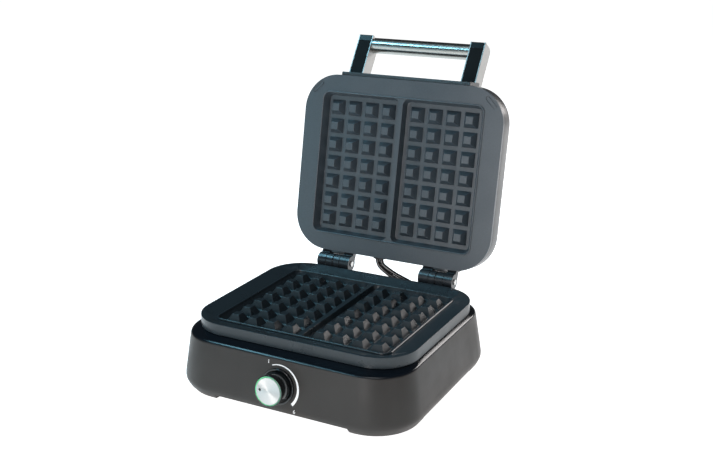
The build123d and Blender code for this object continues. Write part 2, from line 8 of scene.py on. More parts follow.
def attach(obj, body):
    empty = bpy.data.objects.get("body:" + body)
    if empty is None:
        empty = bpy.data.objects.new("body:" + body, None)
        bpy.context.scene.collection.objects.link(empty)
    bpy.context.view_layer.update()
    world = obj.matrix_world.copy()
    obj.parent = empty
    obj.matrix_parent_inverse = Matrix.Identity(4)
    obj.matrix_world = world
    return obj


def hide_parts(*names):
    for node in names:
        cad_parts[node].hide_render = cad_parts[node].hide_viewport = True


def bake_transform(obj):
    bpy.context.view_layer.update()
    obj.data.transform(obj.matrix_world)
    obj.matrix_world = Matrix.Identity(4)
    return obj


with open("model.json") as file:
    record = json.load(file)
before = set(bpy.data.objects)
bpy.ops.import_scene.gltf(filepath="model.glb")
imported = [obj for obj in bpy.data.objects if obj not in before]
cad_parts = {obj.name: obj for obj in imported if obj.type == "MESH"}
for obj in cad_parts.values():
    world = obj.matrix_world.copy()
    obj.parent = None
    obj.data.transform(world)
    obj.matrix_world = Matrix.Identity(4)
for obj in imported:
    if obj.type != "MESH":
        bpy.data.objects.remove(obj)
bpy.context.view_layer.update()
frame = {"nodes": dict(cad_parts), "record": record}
NODES = frame["nodes"]

# ------------------------------------------------------------------ frame
# Drawing frame: millimetres about the middle of the parting plane.
YS, ZS = -36.88, 73.5
HINGE_Y, HINGE_Z, OPEN = 111.2, 1.6, math.radians(101.45)


def M(x, y, z):
    return Vector((x / 1000, (y + YS) / 1000, (z + ZS) / 1000))


def lid_pt(x, y, z):
    dy, dz = y - HINGE_Y, z - HINGE_Z
    return M(x, HINGE_Y + dy * math.cos(OPEN) + dz * math.sin(OPEN),
             HINGE_Z - dy * math.sin(OPEN) + dz * math.cos(OPEN))


# ------------------------------------------------------------------ camera
AZ, EL, ROLL = math.radians(27.892), math.radians(18.356), math.radians(-0.176)
right = Vector((math.cos(AZ), math.sin(AZ), 0))
back = Vector((math.sin(AZ) * math.cos(EL), -math.cos(AZ) * math.cos(EL), math.sin(EL)))
up = back.cross(right)
r2 = math.cos(ROLL) * right + math.sin(ROLL) * up
u2 = -math.sin(ROLL) * right + math.cos(ROLL) * up
cam_data = bpy.data.cameras.new("camera")
cam_data.sensor_width = 36.0
cam_data.lens = 1048.56 / 713 * 36.0
cam_data.clip_start, cam_data.clip_end = 0.05, 20
cam = bpy.data.objects.new("camera", cam_data)
bpy.context.scene.collection.objects.link(cam)
rot = Matrix((r2, u2, back)).transposed().to_4x4()
cam.matrix_world = Matrix.Translation(M(485.5, -874.9, 404.4)) @ rot
bpy.context.scene.camera = cam


# ------------------------------------------------------------------ mesh helpers
def link(name, mesh):
    o = bpy.data.objects.new(name, mesh)
    bpy.context.scene.collection.objects.link(o)
    return o


def arc_rect(hx, hy, r, n_arc=16, n_x=14, n_y=12):
    """Rounded rectangle, counter-clockwise, always the same number of points."""
    pts = []
    corners = [(hx - r, hy - r, 0), (-hx + r, hy - r, 90), (-hx + r, -hy + r, 180), (hx - r, -hy + r, 270)]
    for k, (cx, cy, a0) in enumerate(corners):
        for i in range(n_arc + 1):
            a = math.radians(a0 + 90 * i / n_arc)
            pts.append((cx + r * math.cos(a), cy + r * math.sin(a)))
        nx, ny, _ = corners[(k + 1) % 4]
        a = math.radians(a0 + 90)
        p0 = (cx + r * math.cos(a), cy + r * math.sin(a))
        p1 = (nx + r * math.cos(a), ny + r * math.sin(a))
        n = n_x if k % 2 == 0 else n_y
        for i in range(1, n):
            t = i / n
            pts.append((p0[0] + (p1[0] - p0[0]) * t, p0[1] + (p1[1] - p0[1]) * t))
    return pts


def soften_profile(pts, cuts, n=5):
    """Rounds the corners of a closed profile. Each point is (hx, hy, r, z, y0); cuts gives how far each corner is cut back."""
    out = []
    m = len(pts)
    for i, p in enumerate(pts):
        a, b = pts[i - 1], pts[(i + 1) % m]
        c = cuts[i]
        if c <= 0:
            out.append(p)
            continue

        def toward(q):
            d = math.hypot(q[0] - p[0], q[3] - p[3]) + 0.35 * abs(q[1] - p[1])
            t = min(0.45, c / max(d, 1e-6))
            return tuple(p[k] + (q[k] - p[k]) * t for k in range(5))

        s, e = toward(a), toward(b)
        for j in range(n + 1):
            t = j / n
            out.append(tuple((1 - t) ** 2 * s[k] + 2 * t * (1 - t) * p[k] + t * t * e[k] for k in range(5)))
    return out


def ring_shell(name, profile, place, closed=True, cap=False):
    """Closed shell swept round the rounded rectangles of a profile."""
    rings = []
    for hx, hy, r, z, y0 in profile:
        rings.append([place(x, y + y0, z) for x, y in arc_rect(hx, hy, r)])
    n = len(rings[0])
    verts = [v for ring in rings for v in ring]
    faces = []
    m = len(rings)
    for i in range(m if closed else m - 1):
        j = (i + 1) % m
        for k in range(n):
            l = (k + 1) % n
            faces.append((i * n + k, i * n + l, j * n + l, j * n + k))
    if cap:
        faces.append(tuple(range(n)))
        faces.append(tuple((m - 1) * n + k for k in reversed(range(n))))
    mesh = bpy.data.meshes.new(name)
    mesh.from_pydata(verts, [], faces)
    mesh.update()
    bm = bmesh.new()
    bm.from_mesh(mesh)
    bmesh.ops.recalc_face_normals(bm, faces=bm.faces)
    bm.to_mesh(mesh)
    bm.free()
    o = link(name, mesh)
    smooth(o, 40)
    return o


def smooth(o, angle=35):
    for p in o.data.polygons:
        p.use_smooth = True
    o.data.set_sharp_from_angle(angle=math.radians(angle))


def soften(node, width, segments=3, angle=32, body=None, clean=True, weld=2e-5):
    """The CAD piece's own shape with its edges rounded as the real moulding or casting has them."""
    src = NODES[node]
    mesh = src.data.copy()
    mesh.name = node + "_detail"
    mesh.materials.clear()
    bm = bmesh.new()
    bm.from_mesh(mesh)
    bmesh.ops.remove_doubles(bm, verts=bm.verts, dist=weld)
    if clean:
        bmesh.ops.dissolve_limit(bm, angle_limit=math.radians(1.0), verts=bm.verts, edges=bm.edges)
    bmesh.ops.recalc_face_normals(bm, faces=bm.faces)
    edges = [e for e in bm.edges if len(e.link_faces) == 2 and e.calc_face_angle(0) > math.radians(angle)]
    if width > 0 and edges:
        bmesh.ops.bevel(bm, geom=edges, offset=width / 1000, segments=segments, profile=0.5,
                        affect="EDGES", clamp_overlap=True, loop_slide=True)
    bm.to_mesh(mesh)
    bm.free()
    o = link(node + "_detail", mesh)
    smooth(o, 38)
    wn = o.modifiers.new("flat_faces", "WEIGHTED_NORMAL")
    wn.keep_sharp = True
    wn.weight = 90
    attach(o, body or BODY_OF[node])
    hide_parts(node)
    return o


BODY_OF = {}
for b, ns in frame["record"]["behaviour"]["bodies"].items():
    for n in ns:
        BODY_OF[n] = b


# ------------------------------------------------------------------ materials
def material(name, color, rough=0.5, metal=0.0, spec=0.5, coat=0.0, coat_rough=0.1,
             rough_var=0.08, rough_scale=40.0, color_var=0.15, color_scale=25.0,
             bump=0.0, bump_scale=900.0, bump_detail=2.0, speck=0.0, stretch=None, aniso=0.0):
    mat = bpy.data.materials.new(name)
    mat.use_nodes = True
    nt = mat.node_tree
    nt.nodes.clear()
    N = nt.nodes.new
    out = N("ShaderNodeOutputMaterial")
    bsdf = N("ShaderNodeBsdfPrincipled")
    nt.links.new(bsdf.outputs[0], out.inputs[0])
    bsdf.inputs["Metallic"].default_value = metal
    bsdf.inputs["Specular IOR Level"].default_value = spec
    bsdf.inputs["Coat Weight"].default_value = coat
    bsdf.inputs["Coat Roughness"].default_value = coat_rough
    bsdf.inputs["Anisotropic"].default_value = aniso
    tc = N("ShaderNodeTexCoord")
    src = tc.outputs["Object"]
    if stretch:
        mp = N("ShaderNodeMapping")
        mp.inputs["Scale"].default_value = stretch
        nt.links.new(src, mp.inputs["Vector"])
        src = mp.outputs[0]
    # colour
    n1 = N("ShaderNodeTexNoise")
    n1.inputs["Scale"].default_value = color_scale
    n1.inputs["Detail"].default_value = 5.0
    nt.links.new(src, n1.inputs["Vector"])
    ramp = N("ShaderNodeValToRGB")
    ramp.color_ramp.elements[0].position = 0.3
    ramp.color_ramp.elements[1].position = 0.7
    lo = [max(0.0, c * (1 - color_var)) for c in color]
    hi = [min(1.0, c * (1 + color_var)) for c in color]
    ramp.color_ramp.elements[0].color = (*lo, 1)
    ramp.color_ramp.elements[1].color = (*hi, 1)
    nt.links.new(n1.outputs["Fac"], ramp.inputs[0])
    nt.links.new(ramp.outputs[0], bsdf.inputs["Base Color"])
    # roughness
    n2 = N("ShaderNodeTexNoise")
    n2.inputs["Scale"].default_value = rough_scale
    n2.inputs["Detail"].default_value = 6.0
    nt.links.new(src, n2.inputs["Vector"])
    mr = N("ShaderNodeMapRange")
    mr.inputs["To Min"].default_value = max(0.02, rough - rough_var)
    mr.inputs["To Max"].default_value = min(1.0, rough + rough_var)
    mr.inputs["From Min"].default_value = 0.3
    mr.inputs["From Max"].default_value = 0.7
    nt.links.new(n2.outputs["Fac"], mr.inputs["Value"])
    nt.links.new(mr.outputs[0], bsdf.inputs["Roughness"])
    # fine relief
    if bump > 0:
        n3 = N("ShaderNodeTexNoise")
        n3.inputs["Scale"].default_value = bump_scale
        n3.inputs["Detail"].default_value = bump_detail
        nt.links.new(src, n3.inputs["Vector"])
        height = n3.outputs["Fac"]
        if speck > 0:
            vo = N("ShaderNodeTexVoronoi")
            vo.inputs["Scale"].default_value = bump_scale * 0.35
            nt.links.new(src, vo.inputs["Vector"])
            mx = N("ShaderNodeMath")
            mx.operation = "MULTIPLY_ADD"
            mx.inputs[1].default_value = speck
            nt.links.new(vo.outputs["Distance"], mx.inputs[0])
            nt.links.new(n3.outputs["Fac"], mx.inputs[2])
            height = mx.outputs[0]
        bp = N("ShaderNodeBump")
        bp.inputs["Strength"].default_value = bump
        bp.inputs["Distance"].default_value = 0.0004
        nt.links.new(height, bp.inputs["Height"])
        nt.links.new(bp.outputs[0], bsdf.inputs["Normal"])
    mat["bsdf"] = bsdf.name
    return mat


def give(o, mat):
    o.data.materials.clear()
    o.data.materials.append(mat)


def shelf_gloss_and_painted_reflection(mat, z_from, z_to, rough_in, axis_z=True):
    """Makes the roughness change above a height: the glossier shelf of the housing. Above that height the colour also
    turns a darker bluish black, a painted reflection of dark surroundings on the gloss.
    """
    nt = mat.node_tree
    bsdf = nt.nodes[mat["bsdf"]]
    link_in = bsdf.inputs["Roughness"].links[0].from_socket
    tc = nt.nodes.new("ShaderNodeTexCoord")
    sep = nt.nodes.new("ShaderNodeSeparateXYZ")
    nt.links.new(tc.outputs["Object"], sep.inputs[0])
    mr = nt.nodes.new("ShaderNodeMapRange")
    mr.inputs["From Min"].default_value = z_from
    mr.inputs["From Max"].default_value = z_to
    nt.links.new(sep.outputs["Z"], mr.inputs["Value"])
    mix = nt.nodes.new("ShaderNodeMix")
    mix.data_type = "FLOAT"
    nt.links.new(mr.outputs[0], mix.inputs[0])
    nt.links.new(link_in, mix.inputs[2])
    mix.inputs[3].default_value = rough_in
    nt.links.new(mix.outputs[0], bsdf.inputs["Roughness"])
    # painted reflection: above the shoulder the base colour is swapped for a darker bluish black
    col_in = bsdf.inputs["Base Color"].links[0].from_socket
    shelf_painted_reflection = nt.nodes.new("ShaderNodeMix")
    shelf_painted_reflection.data_type = "RGBA"
    nt.links.new(mr.outputs[0], shelf_painted_reflection.inputs[0])
    nt.links.new(col_in, shelf_painted_reflection.inputs[6])
    shelf_painted_reflection.inputs[7].default_value = (0.004, 0.006, 0.009, 1)
    nt.links.new(shelf_painted_reflection.outputs[2], bsdf.inputs["Base Color"])


HOUSING = material("housing_plastic", (0.030, 0.027, 0.025), rough=0.42, rough_var=0.05, color_var=0.08,
                   bump=0.06, bump_scale=900, bump_detail=1.0, spec=0.22)
# glossier shelf above the shoulder, also painted darker and bluer as painted reflection
shelf_gloss_and_painted_reflection(HOUSING, (ZS - 16.0) / 1000, (ZS - 14.6) / 1000, 0.16)
LID = material("lid_plastic", (0.030, 0.031, 0.033), rough=0.30, rough_var=0.05, color_var=0.1,
               bump=0.02, bump_scale=600, bump_detail=1.0, spec=0.4)
# one coating on both plates, made as lit and shaded copies: the lid plate's copy is lighter (painted sheen), the lower
# plate's copy darker (painted shade)
COAT = material("plate_coating", (0.036, 0.047, 0.057), rough=0.33, rough_var=0.05, rough_scale=30, color_var=0.10,
                color_scale=700, bump=0.05, bump_scale=700, speck=0.3, spec=0.55)
COAT_PAINTED_SHADE = material("plate_coating_painted_shade", (0.016, 0.023, 0.028), rough=0.30, rough_var=0.06, rough_scale=30, color_var=0.12,
                    color_scale=700, bump=0.05, bump_scale=700, speck=0.3, spec=0.42)
RUBBER = material("foot_rubber", (0.02, 0.02, 0.02), rough=0.75, bump=0.2, bump_scale=800)
JACKET = material("lead_jacket", (0.010, 0.010, 0.011), rough=0.10, rough_var=0.04, spec=0.55, bump=0.03, bump_scale=500)
HINGE = material("hinge_metal", (0.018, 0.022, 0.027), rough=0.26, rough_var=0.06, spec=0.6, bump=0.05, bump_scale=1200, metal=0.25)
STEEL = material("steel", (0.55, 0.55, 0.54), rough=0.35, metal=1.0, color_var=0.06, bump=0.05, bump_scale=700)
SCREW = material("screw_steel", (0.16, 0.16, 0.165), rough=0.3, metal=1.0, color_var=0.08, bump=0.05, bump_scale=900)
TUBE = material("handle_tube", (0.34, 0.345, 0.33), rough=0.24, rough_var=0.03, rough_scale=60, metal=1.0, color_var=0.03,
                bump=0.03, bump_scale=700, stretch=(0.05, 1, 1), aniso=0.3)
ARM = material("handle_black", (0.002, 0.002, 0.0025), rough=0.55, rough_var=0.05, bump=0.06, bump_scale=1300, spec=0.10)
TIP = material("handle_gloss", (0.004, 0.007, 0.009), rough=0.30, rough_var=0.04, bump=0.02, bump_scale=900, spec=0.16)
CHEEK = material("handle_silver", (0.30, 0.30, 0.295), rough=0.42, rough_var=0.05, metal=1.0, color_var=0.03,
                 bump=0.05, bump_scale=900, stretch=(1, 0.15, 1))
SHEATH = material("element_sheath", (0.10, 0.09, 0.08), rough=0.5, metal=0.9, color_var=0.3, bump=0.1, bump_scale=500)
PHENOL = material("thermostat_body", (0.45, 0.40, 0.30), rough=0.5, bump=0.08, bump_scale=900)
CERAMIC = material("fuse_body", (0.7, 0.7, 0.66), rough=0.45, bump=0.04, bump_scale=900)
BOARD = material("lamp_board", (0.05, 0.30, 0.10), rough=0.35, bump=0.05, bump_scale=900)
KNOB = material("knob_gloss", (0.006, 0.007, 0.008), rough=0.12, rough_var=0.03, bump=0.01, bump_scale=600, spec=0.55)
PRINT = material("dial_print", (0.80, 0.80, 0.80), rough=0.5, color_var=0.02, bump=0.05, bump_scale=2500)


def spun_material(centre, normal):
    """Brushed disc: the fine turning lines spread the light in sectors round the centre."""
    mat = bpy.data.materials.new("knob_metal")
    mat.use_nodes = True
    nt = mat.node_tree
    nt.nodes.clear()
    N = nt.nodes.new
    out = N("ShaderNodeOutputMaterial")
    bsdf = N("ShaderNodeBsdfPrincipled")
    nt.links.new(bsdf.outputs[0], out.inputs[0])
    bsdf.inputs["Metallic"].default_value = 1.0
    bsdf.inputs["Anisotropic"].default_value = 0.85
    tc = N("ShaderNodeTexCoord")
    sub = N("ShaderNodeVectorMath")
    sub.operation = "SUBTRACT"
    sub.inputs[1].default_value = centre
    nt.links.new(tc.outputs["Object"], sub.inputs[0])
    cr = N("ShaderNodeVectorMath")
    cr.operation = "CROSS_PRODUCT"
    cr.inputs[1].default_value = normal
    nt.links.new(sub.outputs[0], cr.inputs[0])
    nm = N("ShaderNodeVectorMath")
    nm.operation = "NORMALIZE"
    nt.links.new(cr.outputs[0], nm.inputs[0])
    nt.links.new(nm.outputs[0], bsdf.inputs["Tangent"])
    ln = N("ShaderNodeVectorMath")
    ln.operation = "LENGTH"
    nt.links.new(sub.outputs[0], ln.inputs[0])
    rings = N("ShaderNodeTexNoise")
    rings.noise_dimensions = "1D"
    rings.inputs["Scale"].default_value = 6000
    rings.inputs["Detail"].default_value = 2
    nt.links.new(ln.outputs["Value"], rings.inputs["W"])
    mr = N("ShaderNodeMapRange")
    mr.inputs["To Min"].default_value = 0.26
    mr.inputs["To Max"].default_value = 0.40
    nt.links.new(rings.outputs["Fac"], mr.inputs["Value"])
    nt.links.new(mr.outputs[0], bsdf.inputs["Roughness"])
    ramp = N("ShaderNodeValToRGB")
    ramp.color_ramp.elements[0].color = (0.40, 0.40, 0.39, 1)
    ramp.color_ramp.elements[1].color = (0.58, 0.575, 0.56, 1)
    nt.links.new(rings.outputs["Fac"], ramp.inputs[0])
    nt.links.new(ramp.outputs[0], bsdf.inputs["Base Color"])
    bp = N("ShaderNodeBump")
    bp.inputs["Strength"].default_value = 0.12
    bp.inputs["Distance"].default_value = 0.0001
    nt.links.new(rings.outputs["Fac"], bp.inputs["Height"])
    nt.links.new(bp.outputs[0], bsdf.inputs["Normal"])
    return mat


def light_ring_material(centre):
    """Lit translucent ring, brighter on the left of the dial."""
    mat = bpy.data.materials.new("knob_light")
    mat.use_nodes = True
    nt = mat.node_tree
    bsdf = nt.nodes["Principled BSDF"]
    N = nt.nodes.new
    bsdf.inputs["Roughness"].default_value = 0.2
    bsdf.inputs["Subsurface Weight"].default_value = 0.3
    tc = N("ShaderNodeTexCoord")
    sep = N("ShaderNodeSeparateXYZ")
    nt.links.new(tc.outputs["Object"], sep.inputs[0])
    mr = N("ShaderNodeMapRange")
    mr.inputs["From Min"].default_value = centre[0] - 0.015
    mr.inputs["From Max"].default_value = centre[0] + 0.013
    mr.inputs["To Min"].default_value = 1.1
    mr.inputs["To Max"].default_value = 0.05
    nt.links.new(sep.outputs["X"], mr.inputs["Value"])
    ns = N("ShaderNodeTexNoise")
    ns.inputs["Scale"].default_value = 250
    nt.links.new(tc.outputs["Object"], ns.inputs["Vector"])
    mul = N("ShaderNodeMath")
    mul.operation = "MULTIPLY"
    nt.links.new(mr.outputs[0], mul.inputs[0])
    nt.links.new(ns.outputs["Fac"], mul.inputs[1])
    nt.links.new(mul.outputs[0], bsdf.inputs["Emission Strength"])
    bsdf.inputs["Emission Color"].default_value = (0.05, 0.80, 0.22, 1)
    ramp = N("ShaderNodeValToRGB")
    ramp.color_ramp.elements[0].color = (0.08, 0.16, 0.11, 1)
    ramp.color_ramp.elements[1].color = (0.14, 0.26, 0.18, 1)
    nt.links.new(ns.outputs["Fac"], ramp.inputs[0])
    nt.links.new(ramp.outputs[0], bsdf.inputs["Base Color"])
    return mat


# ------------------------------------------------------------------ leads between base and lid
# The route's control points, in the drawing frame.
def _open(x, y, z):
    dy, dz = y - HINGE_Y, z - HINGE_Z
    return (x, HINGE_Y + dy * math.cos(OPEN) + dz * math.sin(OPEN), HINGE_Z - dy * math.sin(OPEN) + dz * math.cos(OPEN))


LEAD_END, LEAD_IN = (38.2, 111.6, -22.6), (36.2, 118.6, -21.4)
MIDDLE = [_open(-14.0, 99.1 + 2.4, 12.5), (-12.6, 122.3, 2.8), (-5.6, 122.2, -2.2), (4.0, 122.6, -7.6),
          (14.5, 123.4, -11.8), (24.0, 124.2, -15.4), (31.4, 123.2, -19.0), LEAD_IN, LEAD_END]
_n = (Vector(LEAD_IN) - Vector(LEAD_END)).normalized()
_x = Vector((1.0, (LEAD_END[0] - LEAD_IN[0]) / (LEAD_IN[1] - LEAD_END[1]), 0)).normalized()
_y = _n.cross(_x).normalized()
if _y.z < 0:
    _y = -_y
_e = tuple(2.5 * c for c in _y)
OFFSET = [(2.5, 0, 0), (2.4, 0, 0.8), (1.9, 0, 1.7), (1.4, 0, 2.2), (1.1, 0, 2.3), (0.9, 0, 2.4), (0.6, 0.2, 2.45), _e, _e]
LEAD_D = 4.4


def spline_points(points):
    cd = bpy.data.curves.new("route", "CURVE")
    cd.dimensions = "3D"
    cd.resolution_u = 12
    sp = cd.splines.new("NURBS")
    sp.points.add(len(points) - 1)
    for q, p in zip(sp.points, points):
        q.co = (*M(*p), 1.0)
    sp.order_u = 3
    sp.use_endpoint_u = True
    o = link("route", cd)
    bpy.context.view_layer.update()
    me = bpy.data.meshes.new_from_object(o)
    pts = [v.co.copy() for v in me.vertices]
    bpy.data.objects.remove(o)
    bpy.data.curves.remove(cd)
    bpy.data.meshes.remove(me)
    return pts


def tube(name, pts, r, sides=20):
    verts, faces = [], []
    normal = None
    for i, p in enumerate(pts):
        t = (pts[min(i + 1, len(pts) - 1)] - pts[max(i - 1, 0)]).normalized()
        if normal is None:
            normal = t.orthogonal().normalized()
        normal = (normal - t * normal.dot(t)).normalized()
        side = t.cross(normal)
        for k in range(sides):
            a = 2 * math.pi * k / sides
            verts.append(p + r * (math.cos(a) * normal + math.sin(a) * side))
    n = len(pts)
    for i in range(n - 1):
        for k in range(sides):
            l = (k + 1) % sides
            faces.append((i * sides + k, i * sides + l, (i + 1) * sides + l, (i + 1) * sides + k))
    faces.append(tuple(reversed(range(sides))))
    faces.append(tuple((n - 1) * sides + k for k in range(sides)))
    mesh = bpy.data.meshes.new(name)
    mesh.from_pydata(verts, [], faces)
    mesh.update()
    o = link(name, mesh)
    smooth(o, 50)
    return o


for name, k in (("lid_lead_1", -1), ("lid_lead_2", 1)):
    route = [tuple(m + k * o for m, o in zip(mm, oo)) for mm, oo in zip(MIDDLE, OFFSET)]
    pts = spline_points(route)
    o = tube(name + "_cable", pts, LEAD_D / 2000)
    give(o, JACKET)
    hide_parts(name)
    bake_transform(o)

# ------------------------------------------------------------------ base housing
B0 = -2.7
prof = [(115.6, 95.6, 37.0, -14.6, 0.0), (115.6, 95.6, 37.0, -12.0, 0.0), (119.6, 99.5, 40.2, -12.1, 0.0),
        (123.3, 109.9, 42.0, -14.3, B0), (130.0, 116.9, 46.3, -62.2, B0), (127.5, 114.6, 46.2, -68.0, B0),
        (124.7, 111.8, 43.4, -68.0, B0), (127.0, 113.9, 43.3, -62.2, B0), (119.7, 106.3, 38.4, -17.3, B0)]
prof = soften_profile(prof, [0, 0.5, 0.8, 2.4, 5.0, 1.0, 0, 0, 0], n=6)
housing = ring_shell("housing_shell", prof, M)
give(housing, HOUSING)
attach(housing, "base")
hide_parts("base_housing")


def skirt_piece(sx, sy):
    """Corner skirt that the feet sit in, with a stepped end each side."""
    name = "corner_skirt_" + ("r" if sx > 0 else "l") + ("b" if sy > 0 else "f")
    rings = []
    levels = [(127.6, 114.7, 46.2, -67.6), (127.2, 114.3, 46.1, -68.6), (124.9, 112.0, 45.0, -71.4), (124.1, 111.2, 44.0, -72.7), (123.5, 110.6, 43.5, -73.0),
              (119.5, 106.6, 40.0, -73.0), (119.1, 106.2, 39.6, -72.6), (119.1, 106.2, 39.6, -67.6)]
    ext = 5.2
    for hx, hy, r, z in levels:
        pts = []
        cx, cy = hx - r, hy - r
        taper = max(0.0, min(1.0, (z + 73.0) / 5.0))
        e = ext + 2.0 * taper
        pts.append((cx + r, cy - e))
        n = 22
        for i in range(n + 1):
            a = math.radians(90 * i / n)
            pts.append((cx + r * math.cos(a), cy + r * math.sin(a)))
        pts.append((cx - e, cy + r))
        rings.append([M(sx * x, sy * y + B0, z) for x, y in pts])
    n = len(rings[0])
    verts = [v for ring in rings for v in ring]
    faces = []
    m = len(rings)
    for i in range(m):
        j = (i + 1) % m
        for k in range(n - 1):
            faces.append((i * n + k, i * n + k + 1, j * n + k + 1, j * n + k))
    faces.append(tuple(i * n for i in range(m)))
    faces.append(tuple(i * n + n - 1 for i in reversed(range(m))))
    mesh = bpy.data.meshes.new(name)
    mesh.from_pydata(verts, [], faces)
    bm = bmesh.new()
    bm.from_mesh(mesh)
    bmesh.ops.recalc_face_normals(bm, faces=bm.faces)
    bm.to_mesh(mesh)
    bm.free()
    o = link(name, mesh)
    smooth(o, 40)
    give(o, HOUSING)
    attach(o, "base")
    return o


for sx in (-1, 1):
    for sy in (-1, 1):
        skirt_piece(sx, sy)

# ------------------------------------------------------------------ lid frame and cover
PX, PY, PR = 119.2, 99.1, 40.0
prof = [(PX, PY, PR, 5.3, 0), (PX, PY, PR, 20.0, 0), (PX - 3, PY - 3, PR - 3, 20.0, 0), (PX - 3, PY - 3, PR - 3, 5.3, 0)]
o = ring_shell("lid_frame_band", soften_profile(prof, [0.6, 0.4, 0, 0], n=4), lid_pt)
give(o, LID)
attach(o, "lid")
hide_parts("lid_frame")

prof = []
for i in range(15):                     # side rolls over into a low crown
    a = math.radians(90 * i / 14)
    prof.append((PX - 13 * (1 - math.cos(a)), PY - 13 * (1 - math.cos(a)), PR - 13 * (1 - math.cos(a)) * 0.9, 20.15 + 7.6 * math.sin(a), 0))
for t in (0.15, 0.3, 0.45, 0.6, 0.75, 0.88, 0.97):
    hx, hy = (PX - 13) * (1 - t), (PY - 13) * (1 - t)
    prof.append((hx, hy, min(28.3, 0.98 * min(hx, hy)) * (1 - t * 0.15), 27.75 + 2.1 * math.sin(math.pi / 2 * t), 0))
o = ring_shell("lid_crown", prof, lid_pt, closed=False, cap=True)
give(o, LID)
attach(o, "lid")
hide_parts("lid_cover")

# ------------------------------------------------------------------ plates and other pieces from their CAD shape
o = soften("upper_waffle_plate", 0.75, 3)
give(o, COAT)
o = soften("lower_waffle_plate", 0.75, 3)
# darker copy of the plate coating: painted shade
give(o, COAT_PAINTED_SHADE)

for node, width, mat, slot_name in (
        ("handle_rail", 0.5, LID, "lid_plastic"), ("handle_arm_left", 0.9, ARM, "handle_black"), ("handle_arm_right", 0.9, ARM, "handle_black"),
        ("handle_tip_left", 0.7, TIP, "handle_gloss"), ("handle_tip_right", 0.7, TIP, "handle_gloss"),
        ("handle_cheeks_left", 0.3, CHEEK, "handle_silver"), ("handle_cheeks_right", 0.3, CHEEK, "handle_silver"),
        ("hinge_base_left", 0.7, HINGE, "hinge_metal"), ("hinge_base_right", 0.7, HINGE, "hinge_metal"),
        ("hinge_lid_left", 0.7, HINGE, "hinge_metal"), ("hinge_lid_right", 0.7, HINGE, "hinge_metal"),
        ("knob_bezel", 0.5, KNOB, "housing_plastic"), ("knob", 0.7, KNOB, "knob_gloss"),
        ("cord_bush", 0.7, RUBBER, "housing_plastic"), ("lead_bush_base", 0.7, RUBBER, "foot_rubber"), ("lead_bush_lid", 0.7, RUBBER, "foot_rubber"),
        ("rubber_feet", 0.6, RUBBER, "foot_rubber"), ("bottom_cover", 0.3, HOUSING, "housing_plastic"),
        ("bottom_cover_screws", 0.3, SCREW, "screw_steel"),
        ("hinge_screws_base_left", 0.3, SCREW, "screw_steel"), ("hinge_screws_base_right", 0.3, SCREW, "screw_steel"),
        ("hinge_screws_lid_left", 0.3, SCREW, "screw_steel"), ("hinge_screws_lid_right", 0.3, SCREW, "screw_steel")):
    o = soften(node, width, 3)
    give(o, mat)

# leaf of each hinge, between the lid's rim and the barrel
def lid_block(name, x0, x1, profile, mat, width=0.5):
    """Prism along X from a closed profile of (y, z) points, with rounded edges."""
    n = len(profile)
    verts = [lid_pt(x, y, z) for x in (x0, x1) for y, z in profile]
    faces = [(k, (k + 1) % n, n + (k + 1) % n, n + k) for k in range(n)]
    faces += [tuple(reversed(range(n))), tuple(n + k for k in range(n))]
    mesh = bpy.data.meshes.new(name)
    mesh.from_pydata(verts, [], faces)
    bm = bmesh.new()
    bm.from_mesh(mesh)
    bmesh.ops.recalc_face_normals(bm, faces=bm.faces)
    bmesh.ops.bevel(bm, geom=list(bm.edges), offset=width / 1000, segments=3, profile=0.5, affect="EDGES", clamp_overlap=True)
    bm.to_mesh(mesh)
    bm.free()
    o = link(name, mesh)
    smooth(o, 38)
    give(o, mat)
    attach(o, "lid")
    return o


for sx, side in ((-1, "left"), (1, "right")):
    xm = sx * 63.4
    lid_block("hinge_leaf_" + side, xm - 13.5, xm + 13.5, [(97.5, 5.6), (102.4, 5.4), (104.6, 8.8), (106.2, 10.8), (106.2, 13.6), (103.6, 15.6), (97.5, 15.6)], HINGE)


def bead(name, hx, hy, r, z, radius, place, down):
    """Half-round bead that follows the lip round both basins."""
    pr = []
    for i in range(9):
        a = math.pi * i / 8
        pr.append((hx + radius * math.cos(a), hy + radius * math.cos(a), r + radius * math.cos(a), z + (-1 if down else 1) * radius * math.sin(a), 0))
    return ring_shell(name, pr, place)


o = bead("lower_plate_bead", 96.6, 79.6, 8.0, -4.05, 1.25, M, False)
# darker copy of the plate coating: painted shade
give(o, COAT_PAINTED_SHADE)
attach(o, "base")
o = bead("upper_plate_bead", 96.6, 79.6, 8.0, 0.55, 0.85, lid_pt, True)
give(o, COAT)
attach(o, "lid")

# handle tube, finely divided
def tube_ring(name, x0, x1, y, z, r, wall, n=96, steps=40):
    prof_ = [(x0, r)] + [(x0 + (x1 - x0) * i / steps, r) for i in range(1, steps)] + [(x1, r), (x1, r - wall), (x0, r - wall)]
    verts, faces = [], []
    for x, rr in prof_:
        for k in range(n):
            a = 2 * math.pi * k / n
            verts.append(lid_pt(x, y + rr * math.cos(a), z + rr * math.sin(a)))
    m = len(prof_)
    for i in range(m):
        j = (i + 1) % m
        for k in range(n):
            l = (k + 1) % n
            faces.append((i * n + k, i * n + l, j * n + l, j * n + k))
    mesh = bpy.data.meshes.new(name)
    mesh.from_pydata(verts, [], faces)
    bm = bmesh.new()
    bm.from_mesh(mesh)
    bmesh.ops.recalc_face_normals(bm, faces=bm.faces)
    bm.to_mesh(mesh)
    bm.free()
    o = link(name, mesh)
    smooth(o, 40)
    return o


o = tube_ring("handle_tube", -59.25, 59.25, -135.4, 42.3, 8.8, 1.2)
give(o, TUBE)
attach(o, "lid")
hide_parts("handle_bar")

